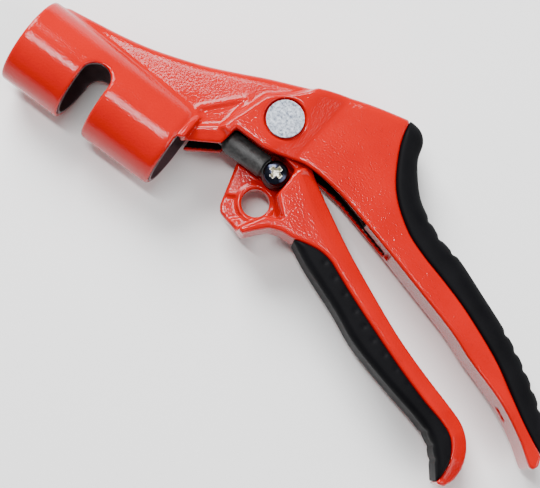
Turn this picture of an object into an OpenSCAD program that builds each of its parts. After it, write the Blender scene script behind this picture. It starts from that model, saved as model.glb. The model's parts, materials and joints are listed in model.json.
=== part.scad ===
// Hand pruner with a tubular notched head, a hinged lever and a pull-type cutter.
// Layout frame: x from the head's tip along the head's bore, y up the side view, z across the tool,
// with z = 0 at the middle of its thickness. place() moves that frame to the part's own one.

/* [Head] */
// Outer radius of the tubular head
head_r = 14.6; // [14.2:0.1:15]
// Length of the tubular head
head_len = 57.4; // [57:0.1:58]
// Radius of the bore that takes the liner
head_bore_r = 13.2; // [13:0.05:13.4]
// Inner radius of the liner, where the carriage slides
liner_r = 12.4; // [12.2:0.05:12.6]
// Width of the stem notch
notch_w = 9.7; // [9:0.1:10]
// Distance of the notch's middle from the tip
notch_x = 26.15; // [25.8:0.05:26.4]
// Height of the centre of the notch's round end above the bore axis
notch_y = 0.5; // [0:0.1:1]

/* [Pivot] */
// Place of the lever pivot, from the tip
pivot_x = 80; // [79.5:0.1:80.5]
// Height of the lever pivot above the bore axis
pivot_y = 26; // [25.5:0.1:26.5]
// Radius of the pivot bolt's shank
bolt_r = 4; // [3.5:0.1:4]
// Radius of the pivot bolt's flat head
bolt_head_r = 5.9; // [5.5:0.1:6.2]
// Radius of the lever's hub
hub_r = 9.3; // [8.8:0.1:9.4]

/* [Widths] */
// Outer face of the near wall of the body
near_out = 11.8; // [11.2:0.1:12.2]
// Inner face of the near wall
near_in = 7.4; // [7.4:0.05:7.5]
// Inner face of the far wall, below the middle
far_in = 6.6; // [6.6:0.05:6.7]
// Outer face of the far wall, below the middle
far_out = 11.2; // [10.8:0.1:11.6]
// Half thickness of the upper handle
handle_half = 9.8; // [9.4:0.1:10.2]
// Half thickness of the lever's arm
arm_half = 8.6; // [8.2:0.1:9]
// How far each grip stands proud of the metal, on each face
grip_proud = 0.6; // [0.3:0.1:0.8]

/* [Draw rod] */
// Place of the rod screw, from the tip
screw_x = 87.5; // [87.3:0.1:87.6]
// Height of the rod screw above the bore axis
screw_y = 11.4; // [11.2:0.1:11.5]
// Radius of the draw rod
rod_r = 3.8; // [3.6:0.1:3.8]
// Radius of the rod screw's pan head
pan_r = 4; // [3.6:0.1:4]

/* [Lever] */
// Radius of the hole through the lever's lug
hang_r = 4.4; // [4.2:0.1:4.8]
// Place of that hole, from the tip
hang_x = 87.6; // [87.4:0.1:87.8]
// Height of that hole above the bore axis
hang_y = 1.2; // [1:0.1:1.4]

/* [Hidden] */
$fn = 64;

// Middle of the whole tool's box in the layout frame
mid_x = 102.5;
mid_y = 7;
// Running clearance of a shaft, and the smallest gap between faces that pass each other
fit_gap = 0.05;
pass_gap = 0.3;

// Stack across the tool, from the far wall to the near one
washer_t = 0.6;
hub_low = -far_in + washer_t + 2 * fit_gap;
hub_high = near_in - washer_t - 2 * fit_gap;
lug_high = -0.8;
rod_z = lug_high + pass_gap + rod_r;
eye_r = rod_r + 0.4;
eye_high = 5.6;
screw_seat = eye_high + 0.25;
pan_h = 2.6;

// Cutter and draw tongue
slide_r = liner_r - 0.08;
anvil_x = 34.6;
anvil_t = 4;
blade_back = 29.8;
blade_edge = anvil_x - 0.2;
blade_half = 1;
blade_low = -11.4;
carriage_low = 7;
carriage_front = 29.8;
carriage_rear = 54;
tongue_half = 1.5;
tongue_h = 5;
cheek_gap = tongue_half + 0.2;
cheek_out = 3;
link_x = 51;
link_r = 1.5;
link_drop = 1.85;
lug_top = 14.4;
lug_ceiling = lug_top + 0.4;
lug_chamfer = 1.4;
lug_front = 36.2;
tongue_rear = 78;
pin_r = 1.2;
tongue_pin_x = 74;
blade_rear = 44.5;
blade_top = 11.2;
blade_pin_x = [34, 40];
blade_pin_y = 9.2;
blade_pin_half = 6.4;
anvil_screw_y = [-4, 3];
anvil_screw_r = 1.25;
anvil_screw_seat = -13.4;

// Near face of the rib over the head: height at the tip, rise along the head and fall towards the top
rib_face = [4.7, 0.11, -0.131];
rib_low = -7.5;
web_t = 1.6;

// Grip and spring
grip_half = handle_half + grip_proud;
lever_grip_half = arm_half + grip_proud;
spring_at = [102, 24.5];
spring_pin_r = 2.4;
coil_r = 3.4;
wire_r = 0.6;
coil_turns = 4;
coil_half = 2.6;
cavity_half = 7;
leg_z = -6;

// Outlines in the side view: points that a smooth curve runs through
top_line = [[4, 15.6], [13, 16.9], [22, 18.2], [31, 20], [39, 22.3], [49.5, 26], [59.5, 30.5],
    [67.6, 34.4], [79, 39.2], [88.4, 43.4], [100, 47.2], [111, 50]];
grip_line = [[111, 50], [113.5, 41], [120.5, 29.2], [130.2, 21.5], [139, 17.9], [149.7, 15],
    [161.2, 11.3], [177.7, 4.2], [192.6, -4.7], [204, -10.5]];
grip_back = [[111, 50], [115.5, 49.4], [118.6, 46.6], [120.8, 40.6], [127.5, 32.6], [134, 28.6],
    [141, 25.6], [149, 23.9], [160.3, 19.6], [175, 13.7], [187.4, 7], [198, -0.4], [203, -6], [204, -10.5]];
under_line = [[205, -13.5], [203.2, -15.4], [197, -11.2], [190, -7.2], [182, -3.7], [169, 0.5], [159, 4.2],
    [142, 8.9], [131, 11.9], [115, 16], [107, 17.8], [98, 18.8], [92.3, 18.6]];
lever_top = [[92.2, 21.4], [100, 17], [109.6, 11.7], [122.7, 4.9], [141.4, -3.5], [151, -7.3],
    [161.9, -10.8], [172.5, -13.8], [179.6, -16.2], [184.7, -20.6], [187.3, -26.2], [187.6, -31.4],
    [186, -35.2]];
lever_grip_line = [[183, -36], [183, -31.9], [182.2, -27.4], [178.6, -22.2], [173.6, -20], [166.1, -18.2],
    [155.5, -15], [144.3, -11.1], [130.8, -6.1], [122.6, -2.8], [117.5, -0.7], [113.2, -0.1],
    [109.2, -0.6], [103.6, -2]];
lever_grip_back = [[103.6, -2], [112, -6.1], [127.1, -11.9], [137.1, -16.4], [147.3, -19.3], [157.5, -21.7],
    [167.4, -23.9], [174, -26.4], [179, -31], [183, -36]];
lug_edge = [[103.6, -2], [99.8, -2.3], [96, -3.8], [93, -7], [90.4, -10.2]];
recess_edge = [[88.4, -8.6], [92.6, -1.4], [97.4, 1.2], [94.3, 3.7], [92.2, 6], [92.2, 15.6]];
// Outside this line the lever's arm stays clear of the upper handle's underside
arm_relief = [[88, 17.4], [92.3, 18.2], [98, 18.3], [104, 17.6], [104, 30], [88, 30]];

// A smooth curve through points p, with n straight steps between neighbours
function pt(p, i) = p[max(0, min(len(p) - 1, i))];
function curve_at(p, i, t) =
    let(a = pt(p, i - 1), b = pt(p, i), c = pt(p, i + 1), d = pt(p, i + 2))
    0.5 * (2 * b + (c - a) * t + (2 * a - 5 * b + 4 * c - d) * t * t + (3 * b - a - 3 * c + d) * t * t * t);
function curve(p, n = 4) = concat([for (i = [0:len(p) - 2]) for (k = [0:n - 1]) curve_at(p, i, k / n)],
    [p[len(p) - 1]]);
function back(p) = [for (i = [len(p) - 1:-1:0]) p[i]];

module place() translate([-mid_x, -mid_y, head_r]) children();

// A plate of a side-view outline between two heights across the tool
module plate(points, low, high) translate([0, 0, low]) linear_extrude(high - low) polygon(points);

// A round bar along x, and one along z
module bar_x(r, x0, x1, y = 0, z = 0) translate([x0, y, z]) rotate([0, 90, 0]) cylinder(r = r, h = x1 - x0);
module bar_z(r, at, low, high) translate([at[0], at[1], low]) cylinder(r = r, h = high - low);

// A box between two corners
module block(a, b) translate(a) cube(b - a);

// The stem notch: a slot across the head with a round end
module notch() {
    bar_z(notch_w / 2, [notch_x, notch_y], -2 * head_r, 2 * head_r);
    block([notch_x - notch_w / 2, -2 * head_r, -2 * head_r], [notch_x + notch_w / 2, notch_y, 2 * head_r]);
}

// A bar along x above the bore, with its upper near corner chamfered
module lug_bar(x0, x1, y0, y1, grow) translate([x0, 0, rod_z]) rotate([90, 0, 90]) linear_extrude(x1 - x0)
    polygon([[y0, -cheek_out - grow], [y1, -cheek_out - grow], [y1, cheek_out + grow - lug_chamfer],
        [y1 - lug_chamfer, cheek_out + grow], [y0, cheek_out + grow]]);

// The way for the carriage's lug and the tongue
module lug_way(high) lug_bar(lug_front, head_len + 1, 5, high, pass_gap);

// Everything below the rib's sloping near face
module below_rib_face() multmatrix([[1, 0, 0, 0], [0, 1, 0, 0], [rib_face[1], rib_face[2], 1, rib_face[0]],
    [0, 0, 0, 1]]) block([-10, -40, -60], [250, 80, 0]);

module head_tube() bar_x(head_r, 0, head_len);

// The rib that rises from the tube, and the two walls that carry the pivot
module neck() {
    intersection() {
        plate(concat([for (q = curve(top_line)) if (q[0] < 60) q], [[60, 9], [4, 9]]), rib_low, 20);
        below_rib_face();
    }
    plate(concat([for (q = curve(top_line)) if (q[0] > 44 && q[0] < 93) q],
        [[94, 45.2], [94, 19.2], [92.3, 18.6], [82.4, 15.3], [79.5, 14.8], [69.6, 14.8], [68.6, 8.4],
        [head_len, 1.2], [44, 1.2]]), -far_out, near_out);
}

module handle() plate(
    concat([for (q = curve(top_line)) if (q[0] > 90) q], curve(grip_line), curve(under_line)),
    -handle_half, handle_half);

// The space between the walls where the hub, the lug and the rod move
module channel() {
    bar_z(hub_r + 0.6, [pivot_x, pivot_y], -far_in, near_in);
    plate([[head_len, -20], [head_len, lug_ceiling], [62.5, 17.4], [65.5, 22.8], [70.6, 29], [80, 30],
        [89, 30], [96, 23.5], [96, -20]], -far_in, near_in);
}

// The hollow under the upper handle that holds the spring, and the narrow slot for its leg
module spring_hollow() {
    plate([[90, 5], [90, 30], [103, 30], [112, 25], [119, 18], [119, 5]], -cavity_half, cavity_half);
    block([118, 9, leg_z - 1], [129.5, 17.6, leg_z + 1]);
}

// The web that closes the head's rear end above the near wall
module rear_web() intersection() {
    bar_x(head_r, head_len - 0.2, head_len + web_t);
    plate([[50, -3.5], [head_len, 1.2], [64, 5.5], [64, 17], [50, 17]], near_in, head_r);
}

module body_casting() color("orangered") place() {
    rear_web();
    body_metal();
}

module body_metal() difference() {
    union() {
        head_tube();
        neck();
        handle();
    }
    bar_x(head_bore_r, -1, head_len + 1);
    notch();
    lug_way(lug_ceiling);
    channel();
    spring_hollow();
    bar_z(bolt_r, [pivot_x, pivot_y], -far_out - 1, near_out + 1);
    bar_z(bolt_head_r + 0.4, [pivot_x, pivot_y], near_out - 1.8, near_out + 1);
    bar_z(spring_pin_r, spring_at, -handle_half - 1, handle_half - 1.8);
    for (y = anvil_screw_y) {
        bar_z(anvil_screw_r + 0.2, [anvil_x + anvil_t / 2, y], -2 * head_r, 0);
        bar_z(2.4, [anvil_x + anvil_t / 2, y], -2 * head_r, anvil_screw_seat);
    }
}

module head_liner() color("dimgray") place() difference() {
    bar_x(head_bore_r, 4, head_len - 0.4);
    bar_x(liner_r, 3, head_len);
    notch();
    lug_way(2 * head_r);
    for (y = anvil_screw_y) bar_z(anvil_screw_r + 0.2, [anvil_x + anvil_t / 2, y], -2 * head_r, 0);
}

module end_plug() color("black") place() difference() {
    bar_x(head_bore_r, 0.6, 4);
    bar_x(head_bore_r - 2, 0, 2);
}

module anvil() color("goldenrod") place() difference() {
    intersection() {
        bar_x(liner_r - fit_gap, anvil_x, anvil_x + anvil_t);
        block([0, -20, -20], [60, carriage_low - 0.4, 20]);
    }
    for (y = anvil_screw_y) bar_z(anvil_screw_r, [anvil_x + anvil_t / 2, y], -2 * head_r, -5);
}

module anvil_screws() color("silver") place() for (y = anvil_screw_y) {
    bar_z(anvil_screw_r, [anvil_x + anvil_t / 2, y], anvil_screw_seat, -5.5);
    difference() {
        bar_z(2.2, [anvil_x + anvil_t / 2, y], anvil_screw_seat - 1.1, anvil_screw_seat);
        translate([anvil_x + anvil_t / 2, y, anvil_screw_seat - 2]) cylinder(r = 1, h = 1.6, $fn = 6);
    }
}

module upper_grip() color([0.07, 0.07, 0.09]) place()
    plate(concat(curve(grip_back), back(curve(grip_line))), -grip_half, grip_half);

// The pivot: a flat-headed bolt, its nut and the two washers beside the hub
module pivot_bolt() color("gainsboro") place() {
    bar_z(bolt_head_r, [pivot_x, pivot_y], near_out - 1.8, near_out - 0.1);
    bar_z(bolt_r, [pivot_x, pivot_y], -far_out, near_out - 1.8);
    bar_z(bolt_r - 1, [pivot_x, pivot_y], -far_out - 2.6, -far_out);
}

module pivot_nut() color("silver") place() difference() {
    translate([pivot_x, pivot_y, -far_out - 2.4]) cylinder(r = 6, h = 2.4, $fn = 6);
    bar_z(bolt_r - 1, [pivot_x, pivot_y], -far_out - 3, -far_out + 1);
}

module pivot_washer(low) color("darkgoldenrod") place() difference() {
    bar_z(hub_r - 0.3, [pivot_x, pivot_y], low, low + washer_t);
    bar_z(bolt_r + fit_gap, [pivot_x, pivot_y], low - 1, low + washer_t + 1);
}

module washer_near() pivot_washer(near_in - washer_t - fit_gap);

module washer_far() pivot_washer(-far_in + fit_gap);

module spring_pin() color("silver") place()
    bar_z(spring_pin_r - fit_gap, spring_at, -handle_half, handle_half - 1.8 - fit_gap);

// The return spring: a coil round its pin, one leg to the lever and one along the slot
coil_steps = 20;
function coil_point(a) = [spring_at[0] + coil_r * cos(a), spring_at[1] + coil_r * sin(a),
    coil_half - 2 * coil_half * (a - 200) / (360 * coil_turns + 60)];
coil_path = [for (k = [0:coil_steps * coil_turns + 3]) coil_point(200 + 360 * k / coil_steps)];
spring_path = concat([[92.8, 23.3, coil_half]], coil_path,
    [[116, 18.2, -5], [119, 17, leg_z], [128.5, 14.6, leg_z]]);
wire_sides = 8;
function unit(v) = v / norm(v);
function along(p, i) = unit(p[min(len(p) - 1, i + 1)] - p[max(0, i - 1)]);
function ring(p, i) =
    let(t = along(p, i), u = unit(cross(t, [0, 0.1, 1])), v = cross(t, u))
    [for (k = [0:wire_sides - 1]) let(a = 360 * k / wire_sides) p[i] + wire_r * (cos(a) * u + sin(a) * v)];

module wire(path) {
    rings = len(path);
    polyhedron(points = [for (i = [0:rings - 1]) for (q = ring(path, i)) q],
        faces = concat([[for (k = [wire_sides - 1:-1:0]) k]],
            [for (i = [0:rings - 2]) for (k = [0:wire_sides - 1])
                let(m = (k + 1) % wire_sides, a = i * wire_sides, b = a + wire_sides)
                    [a + k, a + m, b + m, b + k]],
            [[for (k = [0:wire_sides - 1]) (rings - 1) * wire_sides + k]]));
}

module torsion_spring() color("silver") place() wire(spring_path);

// The lever: hub, lug with its hole, and the arm that the grip covers
module lever_casting() color("orangered") place() difference() {
    union() {
        bar_z(hub_r, [pivot_x, pivot_y], hub_low, hub_high);
        plate(concat([[72.4, 20.6], [75.4, 7.4], [78.9, -5.6], [80.4, -7.6]], back(lug_edge),
            [[112, 6], [92.2, 21.4], [88.6, 28]]), hub_low, lug_high);
        plate([[84, 17.7], recess_edge[5], [92.2, 6], [104, 2], [106, 13.6], [92.2, 21.4], [89.1, 26.6]],
            hub_low, hub_high);
        difference() {
            plate(concat(curve(lever_top), curve(lever_grip_line), lug_edge, recess_edge),
                -arm_half, arm_half);
            bar_z(15.4, [pivot_x, pivot_y], -20, 20);
            block([80, -20, -20], [97, 30, hub_low]);
            plate(arm_relief, -20, 20);
        }
    }
    bar_z(bolt_r + 2, [pivot_x, pivot_y], -20, 20);
    bar_z(2 + fit_gap, [screw_x, screw_y], -20, 20);
    bar_z(hang_r, [hang_x, hang_y], -20, 20);
    // The rod's eye turns in this round relief
    bar_z(eye_r + pass_gap, [screw_x, screw_y], lug_high, 20);
}

module lever_grip() color([0.07, 0.07, 0.09]) place()
    plate(concat(curve(lever_grip_back), curve(lever_grip_line)), -lever_grip_half, lever_grip_half);

module pivot_bush() color("darkgoldenrod") place() difference() {
    bar_z(bolt_r + 2, [pivot_x, pivot_y], hub_low, hub_high);
    bar_z(bolt_r + fit_gap, [pivot_x, pivot_y], hub_low - 1, hub_high + 1);
}

// The rod's hinge: a cross-recess pan screw, the sleeve the eye turns on, and a lock nut
module rod_screw() color([0.2, 0.22, 0.3]) place() difference() {
    union() {
        bar_z(2, [screw_x, screw_y], hub_low - 3.2, screw_seat);
        bar_z(pan_r, [screw_x, screw_y], screw_seat, screw_seat + pan_h);
    }
    for (turn = [20, 110]) translate([screw_x, screw_y, screw_seat + pan_h]) rotate(turn)
        cube([4.4, 0.9, 2.6], center = true);
}

module rod_sleeve() color("silver") place() difference() {
    bar_z(3, [screw_x, screw_y], lug_high, screw_seat);
    bar_z(2, [screw_x, screw_y], lug_high - 1, screw_seat + 1);
}

module screw_nut() color("silver") place() difference() {
    translate([screw_x, screw_y, hub_low - 3.2]) cylinder(r = 4, h = 3.2, $fn = 6);
    bar_z(2, [screw_x, screw_y], hub_low - 4, hub_low + 1);
}

// The draw rod, with the tongue let into its front end
module draw_rod() color([0.16, 0.16, 0.17]) place() difference() {
    union() {
        bar_x(rod_r, 69.6, screw_x, screw_y, rod_z);
        translate([67.6, screw_y, rod_z]) rotate([0, 90, 0]) cylinder(r1 = rod_r - 1.3, r2 = rod_r, h = 2);
        bar_z(eye_r, [screw_x, screw_y], lug_high + pass_gap, eye_high);
    }
    bar_z(3 + fit_gap, [screw_x, screw_y], -20, 20);
    bar_z(pan_r + 0.6, [screw_x, screw_y], eye_high, 20);
    block([60, screw_y - tongue_h / 2, rod_z - tongue_half],
        [tongue_rear, screw_y + tongue_h / 2, rod_z + tongue_half]);
    bar_z(pin_r, [tongue_pin_x, screw_y], lug_high, rod_z + 2);
}

module draw_tongue() color("gray") place() difference() {
    block([link_x - 2, screw_y - tongue_h / 2, rod_z - tongue_half],
        [tongue_rear, screw_y + tongue_h / 2, rod_z + tongue_half]);
    bar_z(link_r, [link_x, screw_y], -20, 20);
    bar_z(pin_r, [tongue_pin_x, screw_y], -20, 20);
}

module tongue_pin() color("silver") place()
    bar_z(pin_r, [tongue_pin_x, screw_y], lug_high + pass_gap + 0.1, rod_z + 2);

module link_pin() color("silver") place()
    bar_z(link_r, [link_x, screw_y], rod_z - cheek_out + 0.1, rod_z + cheek_out - 0.1);

// The carriage that slides in the liner and carries the blade
module cutter_carriage() color("slategray") place() difference() {
    union() {
        intersection() {
            bar_x(slide_r, carriage_front, carriage_rear);
            block([0, carriage_low, -20], [60, 20, 20]);
        }
        lug_bar(carriage_rear - 6.5, carriage_rear, carriage_low + 1, lug_top, 0);
    }
    block([48.2, 0, rod_z - cheek_gap], [60, 20, rod_z + cheek_gap]);
    block([link_x - link_r - 0.25, screw_y - link_r - link_drop - pass_gap, rod_z - cheek_out - 0.1],
        [link_x + link_r + 0.25, screw_y + link_r + pass_gap, rod_z + cheek_out + 0.1]);
    block([0, 0, -blade_half], [blade_rear, blade_top, blade_half]);
    for (x = blade_pin_x) bar_z(pin_r, [x, blade_pin_y], -20, 20);
}

// The hooked blade, with its bevelled edge facing the anvil
module blade() color("lightsteelblue") place() difference() {
    plate([[blade_rear, carriage_low], [blade_rear, blade_top], [carriage_front, blade_top], [blade_back, 9],
        [blade_back, -9], [blade_back + 2, blade_low], [blade_edge, blade_low], [blade_edge, carriage_low]],
        -blade_half, blade_half);
    for (side = [-1, 1]) translate([0, carriage_low - 0.2, 0]) rotate([90, 0, 0]) linear_extrude(25)
        polygon([[blade_edge - 2.4, side * (blade_half + 0.01)],
            [blade_edge + 0.1, side * (blade_half + 0.01)], [blade_edge + 0.1, side * 0.02]]);
    for (x = blade_pin_x) bar_z(pin_r, [x, blade_pin_y], -20, 20);
}

module blade_pins() color("silver") place()
    for (x = blade_pin_x) bar_z(pin_r, [x, blade_pin_y], -blade_pin_half, blade_pin_half);

body_casting();
head_liner();
end_plug();
anvil();
anvil_screws();
upper_grip();
pivot_bolt();
pivot_nut();
washer_near();
washer_far();
spring_pin();
torsion_spring();
lever_casting();
lever_grip();
pivot_bush();
rod_screw();
rod_sleeve();
screw_nut();
draw_rod();
draw_tongue();
tongue_pin();
link_pin();
cutter_carriage();
blade();
blade_pins();
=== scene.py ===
"""Looks of the pruner: castings and grips modelled as smooth solids on a grid, hardware with fine edges.

Lengths are millimetres in the tool's layout frame (x from the head's tip along its bore, y up the side
view, z across the tool) until to_row() turns them into the row's metres.
"""

import json
import math

import bpy
import numpy as np
import openvdb
from mathutils import Matrix, Vector


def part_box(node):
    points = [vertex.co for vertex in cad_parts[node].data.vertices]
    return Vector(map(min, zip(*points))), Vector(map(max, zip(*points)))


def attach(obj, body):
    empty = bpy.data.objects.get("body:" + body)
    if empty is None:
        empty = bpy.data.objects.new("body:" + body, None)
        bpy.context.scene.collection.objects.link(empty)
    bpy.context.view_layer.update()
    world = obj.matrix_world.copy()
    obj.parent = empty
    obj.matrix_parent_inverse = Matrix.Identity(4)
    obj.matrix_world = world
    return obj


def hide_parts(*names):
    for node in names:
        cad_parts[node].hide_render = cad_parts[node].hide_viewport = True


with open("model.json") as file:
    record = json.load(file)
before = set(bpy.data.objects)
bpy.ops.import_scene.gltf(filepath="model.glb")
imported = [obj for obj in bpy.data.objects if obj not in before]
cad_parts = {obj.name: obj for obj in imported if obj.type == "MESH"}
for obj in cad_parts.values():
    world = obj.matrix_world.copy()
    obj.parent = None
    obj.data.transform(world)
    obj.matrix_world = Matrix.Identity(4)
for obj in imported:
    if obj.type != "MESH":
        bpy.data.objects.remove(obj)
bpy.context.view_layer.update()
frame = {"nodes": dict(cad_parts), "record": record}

MM = 0.001
STEP = 0.45
PIECE_TRIANGLES = 170_000
EDGE_BEVEL = 0.25

# The layout frame's zero in the row frame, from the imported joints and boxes
PIVOT = (80.0, 26.0)
joint_at = {j["name"]: j.get("pos_m") for j in frame["record"]["behaviour"]["joints"]}
ZERO = Vector(
    (
        joint_at["lever_pivot"][0] / MM - PIVOT[0],
        joint_at["lever_pivot"][1] / MM - PIVOT[1],
        (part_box("head_liner")[0][2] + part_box("head_liner")[1][2]) / 2 / MM,
    )
)

# Driving sizes, as in the CAD model
HEAD_R, HEAD_LEN, BORE_R = 14.6, 57.4, 13.2
NOTCH_X, NOTCH_Y, NOTCH_W = 26.15, 0.5, 9.7
NEAR_OUT, NEAR_IN, FAR_IN, FAR_OUT = 11.8, 7.4, 6.6, 11.2
HANDLE_HALF, ARM_HALF, GRIP_PROUD = 9.8, 8.6, 0.6
HUB_R, HUB_LOW, HUB_HIGH, LUG_HIGH = 9.3, -5.9, 6.7, -0.8
SCREW = (87.5, 11.4)
HANG, HANG_R = (87.6, 1.2), 4.4
EYE_R = 4.2
ROD_R = 3.8
SPRING_PIN = (102.0, 24.5)
WEB_T = 1.6

TOP_LINE = [(4, 15.6), (13, 16.9), (22, 18.2), (31, 20), (39, 22.3), (49.5, 26), (59.5, 30.5),
            (67.6, 34.4), (79, 39.2), (88.4, 43.4), (100, 47.2), (111, 50)]
GRIP_LINE = [(111, 50), (113.5, 41), (120.5, 29.2), (130.2, 21.5), (139, 17.9), (149.7, 15),
             (161.2, 11.3), (177.7, 4.2), (192.6, -4.7), (204, -10.5)]
GRIP_BACK = [(111, 50), (115.5, 49.4), (118.6, 46.6), (120.8, 40.6), (127.5, 32.6), (134, 28.6),
             (141, 25.6), (149, 23.9), (160.3, 19.6), (175, 13.7), (187.4, 7), (198, -0.4), (203, -6),
             (204, -10.5)]
UNDER_LINE = [(205, -13.5), (203.2, -15.4), (197, -11.2), (190, -7.2), (182, -3.7), (169, 0.5),
              (159, 4.2), (142, 8.9), (131, 11.9), (115, 16), (107, 17.8), (98, 18.8), (92.3, 18.6)]
WALL_EDGE = [(92.3, 18.6), (82.4, 15.3), (79.5, 14.8), (69.6, 14.8), (68.6, 8.4), (57.4, 1.2)]
LEVER_TOP = [(92.2, 21.4), (100, 17), (109.6, 11.7), (122.7, 4.9), (141.4, -3.5), (151, -7.3),
             (161.9, -10.8), (172.5, -13.8), (179.6, -16.2), (184.7, -20.6), (187.3, -26.2),
             (187.6, -31.4), (186, -35.2)]
LEVER_GRIP_LINE = [(183, -36), (183, -31.9), (182.2, -27.4), (178.6, -22.2), (173.6, -20),
                   (166.1, -18.2), (155.5, -15), (144.3, -11.1), (130.8, -6.1), (122.6, -2.8),
                   (117.5, -0.7), (113.2, -0.1), (109.2, -0.6), (103.6, -2)]
LEVER_GRIP_BACK = [(103.6, -2), (112, -6.1), (127.1, -11.9), (137.1, -16.4), (147.3, -19.3),
                   (157.5, -21.7), (167.4, -23.9), (174, -26.4), (179, -31), (183, -36)]
LUG_EDGE = [(103.6, -2), (99.8, -2.3), (96, -3.8), (93, -7), (90.4, -10.2)]
LUG_FRONT = [(80.4, -7.6), (78.9, -5.6), (75.4, 7.4), (72.4, 20.6)]
RECESS_EDGE = [(88.4, -8.6), (92.6, -1.4), (97.4, 1.2), (94.3, 3.7), (91.6, 6.2), (91.6, 13),
               (92.8, 20.5)]


def to_row(points):
    """Layout millimetres to row metres."""
    return (np.asarray(points, dtype=float) + np.array(ZERO)) * MM


# ---------------------------------------------------------------- solids on a grid


def curve(points, steps=5):
    """A smooth curve through the points."""
    p = np.array([points[0]] + list(points) + [points[-1]], dtype=float)
    out = []
    for i in range(1, len(p) - 2):
        a, b, c, d = p[i - 1], p[i], p[i + 1], p[i + 2]
        for k in range(steps):
            t = k / steps
            out.append(0.5 * (2 * b + (c - a) * t + (2 * a - 5 * b + 4 * c - d) * t * t
                              + (3 * b - a - 3 * c + d) * t ** 3))
    out.append(p[-1])
    return [tuple(q) for q in out]


class Grid:
    """Sample points of a box, open along each axis so that flat fields stay small."""

    def __init__(self, low, high, step=STEP):
        self.step = step
        self.low = np.array(low, dtype=float) - 3 * step
        self.count = np.ceil((np.array(high) + 3 * step - self.low) / step).astype(int) + 1
        axes = [(self.low[k] + step * np.arange(self.count[k])).astype(np.float32) for k in range(3)]
        self.x, self.y, self.z = (axes[0][:, None, None], axes[1][None, :, None], axes[2][None, None, :])

    def outline(self, points):
        """Signed distance to a closed outline in the side view, negative inside."""
        x, y = self.x, self.y
        best = np.full((self.x.shape[0], self.y.shape[1], 1), 1e9, dtype=np.float32)
        inside = np.zeros(best.shape, dtype=bool)
        for (ax, ay), (bx, by) in zip(points, points[1:] + points[:1]):
            ex, ey = bx - ax, by - ay
            if ex * ex + ey * ey < 1e-9:
                continue
            t = np.clip(((x - ax) * ex + (y - ay) * ey) / (ex * ex + ey * ey), 0, 1)
            best = np.minimum(best, (x - ax - t * ex) ** 2 + (y - ay - t * ey) ** 2)
            if ay != by:
                crossing = ((ay > y) != (by > y)) & (x < ex * (y - ay) / ey + ax)
                inside ^= crossing
        return np.where(inside, -1, 1) * np.sqrt(best)

    def near_line(self, points):
        """Distance to an open line in the side view."""
        best = None
        for (ax, ay), (bx, by) in zip(points, points[1:]):
            ex, ey = bx - ax, by - ay
            t = np.clip(((self.x - ax) * ex + (self.y - ay) * ey) / (ex * ex + ey * ey), 0, 1)
            d = np.hypot(self.x - ax - t * ex, self.y - ay - t * ey)
            best = d if best is None else np.minimum(best, d)
        return best

    def round_z(self, at, r):
        """Distance to a round bar along z."""
        return np.hypot(self.x - at[0], self.y - at[1]) - r

    def round_x(self, r, y=0.0, z=0.0):
        """Distance to a round bar along x."""
        return np.hypot(self.y - y, self.z - z) - r

    def fill(self, field):
        """The field at every grid point."""
        return np.ascontiguousarray(np.broadcast_to(field, tuple(self.count)), dtype=np.float32)

    def slab(self, axis, low, high):
        """Distance to the space between two planes."""
        v = (self.x, self.y, self.z)[axis]
        return np.maximum(low - v, v - high)

    def block(self, low, high):
        """Distance to a box."""
        d = self.slab(0, low[0], high[0])
        for axis in (1, 2):
            d = np.maximum(d, self.slab(axis, low[axis], high[axis]))
        return d


def both(a, b, k=0.0):
    """Intersection, with an edge rounded over k."""
    if not k:
        return np.maximum(a, b)
    h = np.maximum(k - np.abs(a - b), 0) / k
    return np.maximum(a, b) + h * h * k / 4


def join(a, b, k=0.0):
    """Union, with a fillet over k."""
    return -both(-a, -b, k)


def cut(a, b, k=0.0):
    """a without b, with an edge rounded over k."""
    return both(a, -b, k)


def ramp(v):
    """0 below 0, 1 above 1, smooth between."""
    t = np.clip(v, 0, 1)
    return t * t * (3 - 2 * t)


def soften(field):
    """Rounds every edge a little."""
    for axis in range(3):
        first = np.take(field, [0], axis)
        last = np.take(field, [-1], axis)
        padded = np.concatenate([first, field, last], axis)
        n = field.shape[axis]
        parts = [np.take(padded, range(k, k + n), axis) for k in range(3)]
        field = 0.25 * parts[0] + 0.5 * parts[1] + 0.25 * parts[2]
    return field


def solid(name, grid, field, looks, inner=None):
    """A mesh piece of the field's zero surface. Faces where inner is below 0 take the second look."""
    field = soften(grid.fill(field))
    vdb = openvdb.FloatGrid(10.0)
    vdb.copyFromArray(np.clip(field, -3, 3))
    vdb.transform = openvdb.createLinearTransform(voxelSize=grid.step)
    points, triangles, quads = vdb.convertToPolygons(isovalue=0.0, adaptivity=0.0)
    faces = [tuple(f[::-1]) for f in triangles.tolist()] + [tuple(f[::-1]) for f in quads.tolist()]
    mesh = bpy.data.meshes.new(name)
    mesh.from_pydata(to_row(points + grid.low).tolist(), [], faces)
    mesh.update()
    piece = bpy.data.objects.new(name, mesh)
    bpy.context.collection.objects.link(piece)
    triangle_count = 2 * len(quads) + len(triangles)
    if triangle_count > PIECE_TRIANGLES:
        thin = piece.modifiers.new("thin", "DECIMATE")
        thin.ratio = PIECE_TRIANGLES / triangle_count
        apply_modifiers(piece)
    for look in looks:
        piece.data.materials.append(look)
    if inner is not None:
        inner = grid.fill(inner)
    for polygon in piece.data.polygons:
        polygon.use_smooth = True
        if inner is not None:
            at = (np.array(polygon.center) / MM - np.array(ZERO) - grid.low) / grid.step
            polygon.material_index = int(inner[tuple(np.rint(at).astype(int))] < 0)
    return piece


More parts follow.
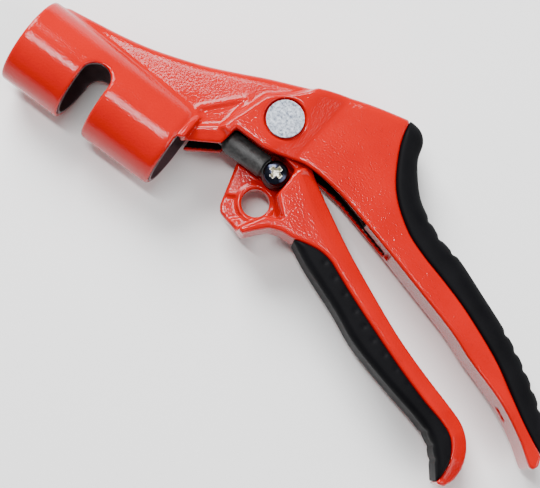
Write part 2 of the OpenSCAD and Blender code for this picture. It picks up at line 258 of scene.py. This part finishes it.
def apply_modifiers(piece):
    """Replaces a piece's mesh with the modified one."""
    depsgraph = bpy.context.evaluated_depsgraph_get()
    mesh = bpy.data.meshes.new_from_object(piece.evaluated_get(depsgraph))
    piece.modifiers.clear()
    piece.data = mesh


# ---------------------------------------------------------------- materials


def material(name):
    """A new node material, its shader, and a function that adds a node."""
    m = bpy.data.materials.new(name)
    m.use_nodes = True
    nodes, links = m.node_tree.nodes, m.node_tree.links
    shader = nodes["Principled BSDF"]

    def node(kind, **values):
        n = nodes.new(kind)
        for key, value in values.items():
            if hasattr(n, key):
                setattr(n, key, value)
            else:
                n.inputs[key.replace("_", " ")].default_value = value
        return n

    return m, shader, node, links


def noise(node, links, coords, scale, detail, rough=0.5):
    """Noise fixed to the piece."""
    n = node("ShaderNodeTexNoise", Scale=scale, Detail=detail, Roughness=rough)
    links.new(coords.outputs["Object"], n.inputs["Vector"])
    return n


def spread(node, links, source, low, high, out_low, out_high):
    """Maps low..high to out_low..out_high."""
    n = node("ShaderNodeMapRange")
    ends = (("From Min", low), ("From Max", high), ("To Min", out_low), ("To Max", out_high))
    for key, value in ends:
        n.inputs[key].default_value = value
    links.new(source, n.inputs["Value"])
    return n


def bump(node, links, shader, height, strength, distance):
    """Fine relief of the surface."""
    n = node("ShaderNodeBump", Strength=strength, Distance=distance)
    links.new(height, n.inputs["Height"])
    links.new(n.outputs["Normal"], shader.inputs["Normal"])


def blend_colours(node, links, shader, factor, first, second):
    """Base colour between two colours."""
    mix = node("ShaderNodeMix", data_type="RGBA")
    mix.inputs["A"].default_value = (*first, 1)
    mix.inputs["B"].default_value = (*second, 1)
    links.new(factor, mix.inputs["Factor"])
    links.new(mix.outputs["Result"], shader.inputs["Base Color"])


def red_powder():
    """Glossy orange-red powder coat with orange peel."""
    m, shader, node, links = material("red_powder_coat")
    coords = node("ShaderNodeTexCoord")
    tone = noise(node, links, coords, 60, 3)
    factor = spread(node, links, tone.outputs["Fac"], 0.35, 0.65, 0, 1)
    dark = (0.43, 0.0012, 0.0008)
    light = (0.48, 0.002, 0.001)
    blend_colours(node, links, shader, factor.outputs["Result"], dark, light)
    rough = spread(node, links, tone.outputs["Fac"], 0.3, 0.7, 0.10, 0.14)
    links.new(rough.outputs["Result"], shader.inputs["Roughness"])
    peel = noise(node, links, coords, 1600, 1.5, 0.5)
    bump(node, links, shader, peel.outputs["Fac"], 0.42, 0.00018)
    shader.inputs["Specular IOR Level"].default_value = 0.24
    return m


def painted_shade_inside():
    """Near-black painted shade standing in for the shade inside the casting's channel, fork cavity, lug
    way and slot.
    """
    m, shader, node, links = material("painted_shade_inside")
    coords = node("ShaderNodeTexCoord")
    tone = noise(node, links, coords, 500, 3)
    factor = spread(node, links, tone.outputs["Fac"], 0.3, 0.7, 0, 1)
    dark = (0.002, 0.0012, 0.0012)
    light = (0.005, 0.0035, 0.0035)
    blend_colours(node, links, shader, factor.outputs["Result"], dark, light)
    rough = spread(node, links, tone.outputs["Fac"], 0.3, 0.7, 0.6, 0.8)
    links.new(rough.outputs["Result"], shader.inputs["Roughness"])
    bump(node, links, shader, tone.outputs["Fac"], 0.4, 0.0002)
    shader.inputs["Specular IOR Level"].default_value = 0.1
    return m


def grip_rubber():
    """Satin black moulded elastomer."""
    m, shader, node, links = material("grip_rubber")
    coords = node("ShaderNodeTexCoord")
    tone = noise(node, links, coords, 90, 4)
    factor = spread(node, links, tone.outputs["Fac"], 0.3, 0.7, 0, 1)
    dark = (0.0025, 0.0025, 0.0032)
    light = (0.0045, 0.0045, 0.0055)
    blend_colours(node, links, shader, factor.outputs["Result"], dark, light)
    rough = spread(node, links, tone.outputs["Fac"], 0.3, 0.7, 0.5, 0.6)
    links.new(rough.outputs["Result"], shader.inputs["Roughness"])
    grain = noise(node, links, coords, 2600, 2, 0.6)
    bump(node, links, shader, grain.outputs["Fac"], 0.25, 0.00012)
    shader.inputs["Specular IOR Level"].default_value = 0.05
    return m


def metal(name, dark, light, rough_low, rough_high, scale=260, bumps=0.15):
    """Plated or ground steel and brass with a mottled surface."""
    m, shader, node, links = material(name)
    coords = node("ShaderNodeTexCoord")
    mottle = noise(node, links, coords, scale, 5, 0.65)
    factor = spread(node, links, mottle.outputs["Fac"], 0.35, 0.65, 0, 1)
    blend_colours(node, links, shader, factor.outputs["Result"], dark, light)
    rough = spread(node, links, mottle.outputs["Fac"], 0.3, 0.7, rough_low, rough_high)
    links.new(rough.outputs["Result"], shader.inputs["Roughness"])
    fine = noise(node, links, coords, scale * 8, 3, 0.6)
    bump(node, links, shader, fine.outputs["Fac"], bumps, 0.0001)
    shader.inputs["Metallic"].default_value = 1.0
    return m


def grainy_black():
    """Matte black rod with a fine cast grain."""
    m, shader, node, links = material("grainy_black")
    coords = node("ShaderNodeTexCoord")
    tone = noise(node, links, coords, 700, 4, 0.7)
    factor = spread(node, links, tone.outputs["Fac"], 0.35, 0.7, 0, 1)
    dark = (0.006, 0.006, 0.006)
    light = (0.040, 0.040, 0.040)
    blend_colours(node, links, shader, factor.outputs["Result"], dark, light)
    rough = spread(node, links, tone.outputs["Fac"], 0.3, 0.7, 0.42, 0.6)
    links.new(rough.outputs["Result"], shader.inputs["Roughness"])
    grain = noise(node, links, coords, 1900, 3, 0.7)
    bump(node, links, shader, grain.outputs["Fac"], 0.5, 0.0002)
    return m


def liner_coat():
    """Satin mauve-grey coat of the head's sleeve."""
    m, shader, node, links = material("liner_coat")
    coords = node("ShaderNodeTexCoord")
    tone = noise(node, links, coords, 160, 4, 0.6)
    factor = spread(node, links, tone.outputs["Fac"], 0.35, 0.65, 0, 1)
    dark = (0.10, 0.055, 0.065)
    light = (0.16, 0.09, 0.10)
    blend_colours(node, links, shader, factor.outputs["Result"], dark, light)
    rough = spread(node, links, tone.outputs["Fac"], 0.3, 0.7, 0.35, 0.48)
    links.new(rough.outputs["Result"], shader.inputs["Roughness"])
    grain = noise(node, links, coords, 2200, 2, 0.5)
    bump(node, links, shader, grain.outputs["Fac"], 0.2, 0.0001)
    return m


RED = red_powder()
LINER = liner_coat()
# Near-black painted shade for the casting's shaded insides.
PAINTED_SHADE = painted_shade_inside()
RUBBER = grip_rubber()
WORN = metal("worn_steel", (0.35, 0.33, 0.27), (0.75, 0.72, 0.6), 0.25, 0.45, 1500, 0.4)
BLACK = grainy_black()
ZINC = metal("bright_zinc", (0.07, 0.085, 0.12), (0.5, 0.54, 0.6), 0.3, 0.5, 1100, 0.9)
STEEL = metal("plated_steel", (0.45, 0.46, 0.48), (0.66, 0.67, 0.70), 0.25, 0.38)
DARK_STEEL = metal("drawn_steel", (0.07, 0.05, 0.058), (0.10, 0.075, 0.085), 0.38, 0.46, 120, 0.05)
BLUED = metal("blued_steel", (0.012, 0.014, 0.024), (0.04, 0.045, 0.07), 0.12, 0.26)
BLADE = metal("ground_steel", (0.5, 0.51, 0.53), (0.72, 0.73, 0.75), 0.18, 0.3, 900)
BRASS = metal("brass", (0.55, 0.36, 0.13), (0.75, 0.53, 0.22), 0.25, 0.4)


def dress(piece, look):
    """Gives a piece one material."""
    piece.data.materials.clear()
    piece.data.materials.append(look)


# ---------------------------------------------------------------- the body casting


BOSS = [(65.4, 12.2), (70.7, 28.6), (76.2, 33.1), (80.5, 37.6), (84, 46), (97, 50), (97, 18), (80, 10)]
VALLEY = [(94, 60), (92, 42), (91, 31), (90, 20), (89.4, 0), (300, 0), (300, 60)]
NECK_POCKET = [(56.9, 13.2), (66.8, 24.0), (66.0, 13.2), (58.2, 7.2)]


def rib_face(g):
    """Height of the sloping flat along the top of the neck."""
    return 4.7 + 0.11 * g.x - 0.131 * g.y


def face_levels(g):
    """Height of the near face: neck, pocket, pivot boss and handle."""
    neck = np.clip(9.3 + 0.1 * (g.x - 56), 9.0, 10.4)
    level = join(neck, rib_face(g), 0.9)
    pocket = g.outline(NECK_POCKET)
    rim = 0.2 * ramp(1 - np.abs(pocket - 0.8) / 1.0)
    level = level - 0.7 * ramp(0.1 - pocket / 0.9) + rim
    boss = g.outline(BOSS)
    level = level + (NEAR_OUT - level) * ramp(0.5 - boss / 1.5)
    lower = g.near_line([(50, -3.4), (57.4, 1.2), (68.6, 8.4)])
    level = level - 0.36 * np.maximum(3.6 - lower, 0)
    valley = g.outline(VALLEY)
    down = 9.3 + 0.3 * np.maximum(valley, 0)
    handle = 9.3 + (HANDLE_HALF - 9.3) * ramp(-valley / 6)
    return np.where(valley > 0, join(level, down, 0.6), handle)


def body_casting():
    """Head tube, two-walled neck, pivot boss and upper handle in one casting."""
    g = Grid((0, -16.5, -15), (205.5, 51, 15))
    side = (curve(TOP_LINE) + curve(GRIP_LINE)[1:] + curve(UNDER_LINE)[:-1] + WALL_EDGE
            + [(44, 1.2), (44, 9), (4, 9)])
    outline = g.outline(side)
    under_top = g.outline(curve(TOP_LINE) + [(125, 60), (300, 60), (300, -60), (-60, -60), (-60, 15.6)])
    walls = both(both(under_top, g.z - face_levels(g), 3.2), outline, 0.8)
    far = np.where(g.x < 93, FAR_OUT, HANDLE_HALF)
    far = np.where(g.x < 58, 7.5 + (FAR_OUT - 7.5) * ramp((g.x - 48) / 10), far)
    walls = both(walls, -g.z - far, 2.0)
    tube = both(both(g.round_x(HEAD_R), -g.x, 0.8), g.x - HEAD_LEN, 2.8)
    field = join(tube, walls, 1.2)
    field = cut(field, both(g.round_x(BORE_R), g.slab(0, -9, HEAD_LEN + 1)))
    notch = join(g.round_z((NOTCH_X, NOTCH_Y), NOTCH_W / 2),
                 g.block((NOTCH_X - NOTCH_W / 2, -60, -60), (NOTCH_X + NOTCH_W / 2, NOTCH_Y, 60)))
    field = cut(field, notch, 0.5)
    way = both(g.block((35.8, 5, 0), (HEAD_LEN + 1, 14.8, 6.6)), g.z + g.y - 19.8)
    field = cut(field, way)
    channel = g.outline([(HEAD_LEN, -30), (HEAD_LEN, 14.8), (62.5, 17.4), (65.5, 22.8),
                         (70.6, 29), (80, 30), (89, 30), (96, 23.5), (96, -30)])
    channel = both(channel, g.slab(2, -FAR_IN, NEAR_IN))
    hub_space = both(g.round_z(PIVOT, HUB_R + 0.6), g.slab(2, -FAR_IN, NEAR_IN))
    field = cut(field, join(channel, hub_space), 0.5)
    web = both(both(g.round_x(HEAD_R), g.slab(0, HEAD_LEN - 0.2, HEAD_LEN + WEB_T)), NEAR_IN - g.z)
    web = both(web, g.outline([(50, -3.5), (57.4, 1.2), (64, 5.5), (64, 17), (50, 17)]), 0.6)
    field = join(field, web, 0.3)
    hollow = g.outline([(88, 0), (88, 30), (103, 30), (112, 25), (119, 18), (119, 0)])
    hollow = both(hollow, g.slab(2, -7, 7))
    field = cut(field, hollow, 0.4)
    slot = g.block((117, 0, -6.8), (129.5, 17.6, -4.2))
    field = cut(field, slot)
    ledge = g.outline([(117, 0), (117, 16.4), (131.4, 12.7), (131.4, 0)])
    field = cut(field, both(ledge, g.slab(2, -4.2, 7.8)))
    field = cut(field, both(g.round_z(PIVOT, 6.5), g.slab(2, 9.9, 30)), 0.3)
    field = cut(field, g.round_z(PIVOT, 4.0))
    field = cut(field, both(g.round_z(SPRING_PIN, 2.4), g.slab(2, -30, 8.0)))
    for y in (-4, 3):
        field = cut(field, both(g.round_z((36.6, y), 2.4), g.slab(2, -30, -13.4)))
    eyelet = np.minimum(g.round_z((186.6, -5.6), 1.1), g.round_z((188.9, -6.8), 1.1))
    field = cut(field, both(eyelet, g.slab(2, -3, -0.4)))
    # Painted shade: faces in the channel, hollow, lug way and slot take the near-black second look in
    # place of the shade that falls there.
    dark = np.minimum(np.minimum(channel, hollow), np.minimum(way, slot)) - 0.35
    dark = np.maximum(dark, 0.7 + outline)
    return solid("body_shell", g, field, [RED, PAINTED_SHADE], dark)


# ---------------------------------------------------------------- the grips


def along(points, start, end, pitch):
    """Points every pitch along a curve, between two distances from its start, with their directions."""
    path = np.array(curve(points, 12))
    lengths = np.concatenate([[0], np.cumsum(np.linalg.norm(np.diff(path, axis=0), axis=1))])
    out = []
    for s in np.arange(start, min(end, lengths[-1]), pitch):
        at = np.array([np.interp(s, lengths, path[:, k]) for k in (0, 1)])
        ahead = np.array([np.interp(s + 0.5, lengths, path[:, k]) for k in (0, 1)])
        out.append((at, (ahead - at) / max(np.linalg.norm(ahead - at), 1e-6)))
    return out


def upper_grip():
    """Crowned grip with ribs along its back."""
    g = Grid((110, -11.5, -10.6), (205.5, 51, 10.6))
    outline = g.outline(curve(GRIP_BACK) + curve(GRIP_LINE)[::-1][1:])
    half = HANDLE_HALF + GRIP_PROUD
    back = g.near_line(curve(GRIP_BACK))
    crown = 3.0 * np.maximum(0, 1 - back / 5.5) ** 2
    field = both(outline, np.abs(g.z) - half + crown, 1.0)
    for start, end in ((34, 48), (76, 112)):
        for at, _ in along(GRIP_BACK, start, end, 6.2):
            field = cut(field, g.round_z(at, 0.7), 1.1)
    return solid("upper_grip_skin", g, field, [RUBBER])


def lever_grip():
    """Crowned grip with dimples on both sides and a few ribs at its end."""
    g = Grid((103, -37, -9.4), (185, 1, 9.4))
    outline = g.outline(curve(LEVER_GRIP_BACK) + curve(LEVER_GRIP_LINE)[1:])
    half = ARM_HALF + GRIP_PROUD
    back = g.near_line(curve(LEVER_GRIP_BACK))
    crown = 1.6 * np.maximum(0, 1 - back / 2.6) ** 2
    field = both(outline, np.abs(g.z) - half + crown, 1.0)
    for at, way in along(LEVER_GRIP_BACK, 6, 88, 5.7):
        x, y = at + 5.4 * np.array([-way[1], way[0]])
        for side in (-1, 1):
            dimple = np.sqrt((g.x - x) ** 2 + (g.y - y) ** 2 + (g.z - side * (half + 0.5)) ** 2) - 1.1
            field = cut(field, dimple, 0.2)
    for at, _ in along(LEVER_GRIP_BACK, 72, 84, 4.4):
        field = cut(field, g.round_z(at, 0.5), 0.8)
    return solid("lever_grip_skin", g, field, [RUBBER])


# ---------------------------------------------------------------- the lever casting


ARM_RIDGE = [(94.2, 20.5), (93.5, 17.5), (93.8, 15.2), (100.6, 10.5), (106.3, 7), (113.2, 3.4),
             (120.2, 0.2), (130.4, -3.7), (135, -5.5), (155, -12.9), (171.9, -18.8), (178, -22.4),
             (181.6, -27.8), (182.4, -34)]


def lever_levels(g):
    """Height of the lever's near face: the sunken lug, the step up to the arm and its bevelled edge."""
    raised = g.outline(RECESS_EDGE + curve(LEVER_TOP)[3:] + [(230, -60), (88.4, -60)])
    beyond = g.outline(ARM_RIDGE + [(200, -60), (230, -60), (230, 60), (94.2, 60)])
    arm = ARM_HALF - 0.7 * np.maximum(-beyond, 0)
    rise = LUG_HIGH + (ARM_HALF - LUG_HIGH) * ramp(0.75 - raised / 0.8)
    level = join(arm, rise, 0.4)
    inner = np.hypot(g.x - PIVOT[0], g.y - PIVOT[1])
    return np.minimum(level, HUB_HIGH + 20 * np.maximum(0, inner - 15.6))


def lever_casting():
    """Hub, sunken lug with its hanging hole, and arm in one casting."""
    g = Grid((72, -37, -9), (189, 36, 9))
    side = (curve(LEVER_TOP) + curve(LEVER_GRIP_LINE) + LUG_EDGE[1:] + LUG_FRONT + [(88.6, 28)])
    outline = g.outline(side)
    inner = np.hypot(g.x - PIVOT[0], g.y - PIVOT[1])
    far = ARM_HALF - 0.7 * np.maximum(3.0 - g.near_line(curve(LEVER_TOP)), 0)
    far = -HUB_LOW + (far + HUB_LOW) * ramp((g.x - 96.5) / 9)
    far = np.minimum(far, -HUB_LOW + 20 * np.maximum(0, inner - 15.6))
    field = both(both(outline, g.z - lever_levels(g), 1.2), -g.z - far, 1.0)
    lip = both(g.round_z(HANG, 6.2), g.slab(2, -3, LUG_HIGH + 0.5), 0.6)
    field = join(field, both(lip, outline))
    block = g.outline([(84, 17.7), (92.2, 15.6), (95, 12), (97, 15), (96, 19), (92.2, 21.4),
                       (89.1, 26.6)])
    block = both(block, g.slab(2, HUB_LOW, HUB_HIGH))
    field = join(field, both(block, outline))
    hub = both(g.round_z(PIVOT, HUB_R), g.slab(2, HUB_LOW, HUB_HIGH))
    field = join(field, hub)
    relief = g.outline([(88, 17.4), (92.3, 18.2), (98, 18.3), (104, 17.6), (104, 30), (88, 30)])
    field = cut(field, both(relief, 5.8 - np.abs(g.z)))
    field = cut(field, g.round_z(PIVOT, 6.0))
    field = cut(field, g.round_z(SCREW, 2.0))
    field = cut(field, both(g.round_z(SCREW, EYE_R + 0.3), g.slab(2, LUG_HIGH, 30)))
    field = cut(field, g.round_z(HANG, HANG_R), 0.9)
    groove = g.outline([(83.2, 0.4), (87, -4.6), (81.6, -10), (76, -4)])
    groove = both(groove, g.slab(2, LUG_HIGH - 0.9, 30))
    field = cut(field, cut(groove, g.round_z(HANG, 6.0)), 0.4)
    return solid("lever_shell", g, field, [RED])


# ---------------------------------------------------------------- the rod and its screw


def draw_rod():
    """Round rod with a chamfered front and an eye for the screw."""
    z = LUG_HIGH + 0.3 + ROD_R
    g = Grid((67, 6, -1), (92.5, 17, 8), 0.2)
    front = g.round_x(ROD_R - np.maximum(0, 69.9 - g.x) * 0.75, SCREW[1], z)
    field = both(both(front, g.slab(0, 67.6, 83.6), 0.9), -(g.x - 67.6), 0.5)
    eye = both(g.round_z(SCREW, EYE_R), g.slab(2, LUG_HIGH + 0.3, 5.6), 0.7)
    shank = both(g.round_x(ROD_R - 0.7, SCREW[1], z), g.slab(0, 80, SCREW[0]))
    field = join(field, join(eye, shank, 0.5), 0.4)
    field = cut(field, both(g.round_z(SCREW, 4.6), g.slab(2, 5.6, 30)))
    field = cut(field, g.round_z(SCREW, 3.05))
    field = cut(field, g.block((60, SCREW[1] - 2.5, z - 1.5), (78, SCREW[1] + 2.5, z + 1.5)))
    field = cut(field, both(g.round_z((74, SCREW[1]), 1.2), g.slab(2, LUG_HIGH, z + 2)))
    return solid("draw_rod_cast", g, field, [BLACK])


def rod_screw():
    """Pan head with a cross recess, and its shank."""
    top = 8.45
    g = Grid((SCREW[0] - 4.2, SCREW[1] - 4.2, -9.3), (SCREW[0] + 4.2, SCREW[1] + 4.2, top + 0.2), 0.13)
    r = np.hypot(g.x - SCREW[0], g.y - SCREW[1])
    dome = both(both(r - 4.0, g.z - (top - 0.075 * r * r), 0.9), 5.85 - g.z, 0.3)
    recess = None
    for turn in (79, 169):
        c, n = math.cos(math.radians(turn)), math.sin(math.radians(turn))
        u = (g.x - SCREW[0]) * c + (g.y - SCREW[1]) * n
        v = (g.y - SCREW[1]) * c - (g.x - SCREW[0]) * n
        depth = top - g.z
        arm = both(np.abs(u) - 2.15 + 0.55 * depth, np.abs(v) - 0.62 + 0.12 * depth)
        recess = arm if recess is None else np.minimum(recess, arm)
    recess = both(np.minimum(recess, r - 1.0), (top - 1.7) - g.z)
    field = cut(dome, recess, 0.15)
    field = join(field, both(r - 1.97, g.slab(2, -9.1, 6.2), 0.2))
    return solid("rod_screw_pan", g, field, [BLUED, WORN], np.where(g.z > 6.2, recess - 0.16, 1))


def stand_in(piece, body, node):
    """Attaches a modelled piece to its body and hides the CAD part it replaces."""
    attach(piece, body)
    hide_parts(node)


stand_in(body_casting(), "body", "body_casting")
stand_in(upper_grip(), "body", "upper_grip")
stand_in(lever_casting(), "lever", "lever_casting")
stand_in(lever_grip(), "lever", "lever_grip")
stand_in(draw_rod(), "draw_rod", "draw_rod")
stand_in(rod_screw(), "lever", "rod_screw")


# ---------------------------------------------------------------- hardware carried over from the CAD


NODE_LOOKS = {
    "head_liner": LINER, "end_plug": RUBBER, "anvil": BRASS, "anvil_screws": STEEL,
    "pivot_bolt": ZINC, "pivot_nut": STEEL, "washer_near": BRASS, "washer_far": BRASS,
    "spring_pin": STEEL, "torsion_spring": BLACK, "pivot_bush": BRASS, "rod_sleeve": STEEL,
    "screw_nut": STEEL, "draw_tongue": DARK_STEEL, "tongue_pin": STEEL, "link_pin": STEEL,
    "cutter_carriage": DARK_STEEL, "blade": BLADE, "blade_pins": STEEL,
}


def refine(node, look):
    """Fine rounded edges and a material on a CAD node."""
    piece = frame["nodes"][node]
    dress(piece, look)
    edge = piece.modifiers.new("edges", "BEVEL")
    edge.width = EDGE_BEVEL * MM
    edge.segments = 2
    edge.limit_method = "ANGLE"
    edge.angle_limit = math.radians(35)
    edge.harden_normals = False


for node_name, look in NODE_LOOKS.items():
    refine(node_name, look)


# ---------------------------------------------------------------- camera, light and floor


def camera():
    """Looks down at the tool lying on its far side, a few degrees off the vertical."""
    back = Vector((0.0389, -0.1343, 0.9902)).normalized()
    up = Vector((-0.5962, 0.7913, 0.1309))
    up = (up - up.dot(back) * back).normalized()
    data = bpy.data.cameras.new("camera")
    data.sensor_width = 36
    data.lens = 120
    view = bpy.data.objects.new("camera", data)
    bpy.context.collection.objects.link(view)
    axes = Matrix((up.cross(back), up, back)).transposed().to_4x4()
    view.matrix_world = Matrix.Translation(Vector(to_row((120.75, -81.7, 554.5)))) @ axes
    bpy.context.scene.camera = view


def area_light(name, at, target, size, power):
    """A soft rectangular lamp aimed at a point."""
    data = bpy.data.lights.new(name, "AREA")
    data.shape = "RECTANGLE"
    data.size, data.size_y = size
    data.energy = power
    lamp = bpy.data.objects.new(name, data)
    bpy.context.collection.objects.link(lamp)
    lamp.location = at
    lamp.rotation_euler = (Vector(target) - Vector(at)).to_track_quat("-Z", "Y").to_euler()


def floor():
    """A wide pale floor."""
    mesh = bpy.data.meshes.new("floor")
    reach = 3.0
    corners = [(-reach, -reach, 0), (reach, -reach, 0), (reach, reach, 0), (-reach, reach, 0)]
    mesh.from_pydata(corners, [], [(0, 1, 2, 3)])
    piece = bpy.data.objects.new("floor", mesh)
    bpy.context.collection.objects.link(piece)
    m, shader, node, links = material("pale_floor")
    coords = node("ShaderNodeTexCoord")
    tone = noise(node, links, coords, 3, 2)
    factor = spread(node, links, tone.outputs["Fac"], 0.3, 0.7, 0, 1)
    dark = (0.90, 0.90, 0.90)
    light = (0.93, 0.93, 0.93)
    blend_colours(node, links, shader, factor.outputs["Result"], dark, light)
    shader.inputs["Roughness"].default_value = 0.9
    dress(piece, m)


def lights():
    """A broad key, a narrow strip for the gleam along the head, and a low fill."""
    world = bpy.data.worlds.new("world")
    bpy.context.scene.world = world
    world.use_nodes = True
    sky = world.node_tree.nodes["Background"]
    sky.inputs["Color"].default_value = (1, 1, 1, 1)
    sky.inputs["Strength"].default_value = 0.3
    area_light("key", (-0.80, 0.56, 0.85), (0, 0, 0), (0.65, 0.65), 36)
    area_light("strip", (-0.24, 0.0, 0.95), (-0.24, 0.0, 0), (0.40, 0.06), 6)
    area_light("fill", (0.9, 0.1, 0.7), (0, 0, 0), (0.8, 0.8), 9)


camera()
lights()
floor()
